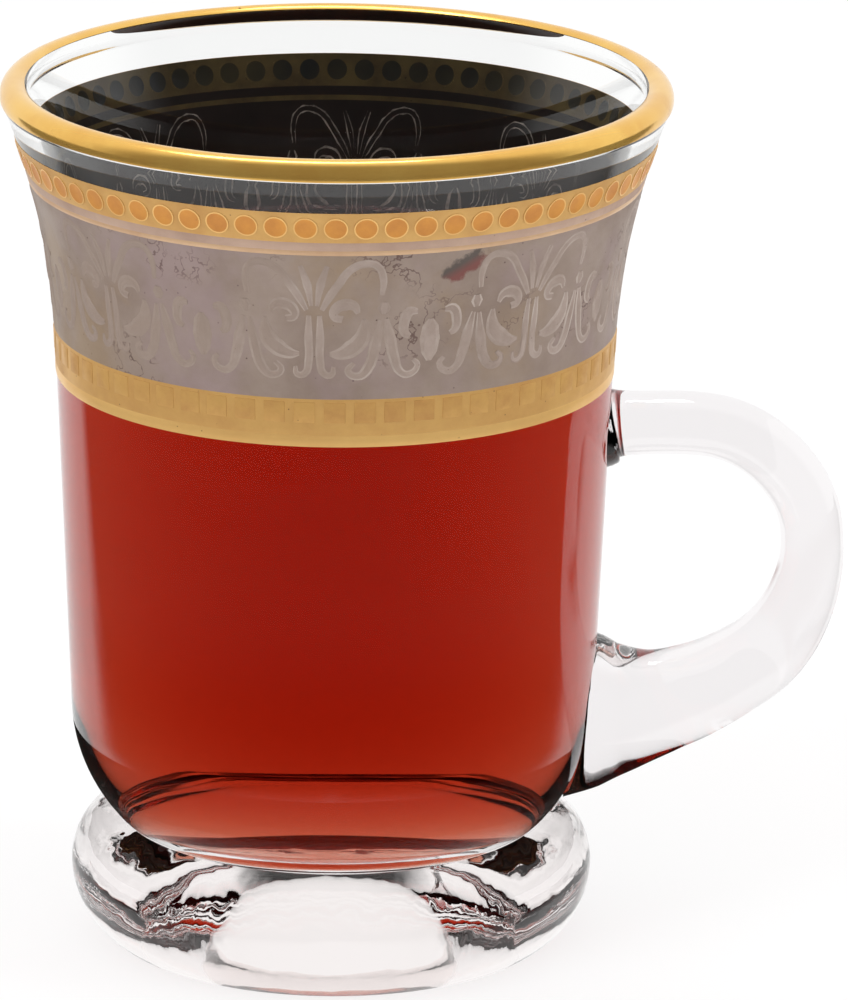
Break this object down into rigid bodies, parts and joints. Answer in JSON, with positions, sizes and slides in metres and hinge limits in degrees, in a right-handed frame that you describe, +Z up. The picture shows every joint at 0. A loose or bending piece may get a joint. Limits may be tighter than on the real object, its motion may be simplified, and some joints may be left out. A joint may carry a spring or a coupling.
{
  "type": "tea glass",
  "caption": "Handled tea glass: clear flared bowl on a thick round foot, loop handle, fired gold and platinum bands with scrollwork, holding red tea.",
  "frame": {"origin": "centre of the foot's base, on the surface that the glass stands on", "axes": "+Z up along the bowl's axis, +X from the axis towards the handle, +Y completes the right hand"},
  "size_m": [0.1019, 0.0802, 0.1061],
  "materials": {
    "clear_glass": "clear polished glass",
    "rim_gold": "bright fired gold",
    "border_gold": "satin fired gold",
    "dot_gold": "satin fired gold, redder",
    "pale_gold": "bright pale gold",
    "platinum": "satin fired platinum, lightly tarnished",
    "matt_platinum": "matt etched platinum",
    "tea": "clear red liquid"
  },
  "bodies": {
    "root": {"bowl": "clear_glass", "foot": "clear_glass", "handle": "clear_glass", "rim_gold_band": "rim_gold", "upper_gold_border": "border_gold", "upper_gold_dots": "dot_gold", "upper_platinum_stripe": "platinum", "upper_gold_line": "pale_gold", "platinum_band": "platinum", "scrollwork": "matt_platinum", "lower_gold_border": "border_gold", "lower_gold_blocks": "dot_gold", "lower_gold_line": "pale_gold", "tea": "tea"}
  },
  "joints": []
}
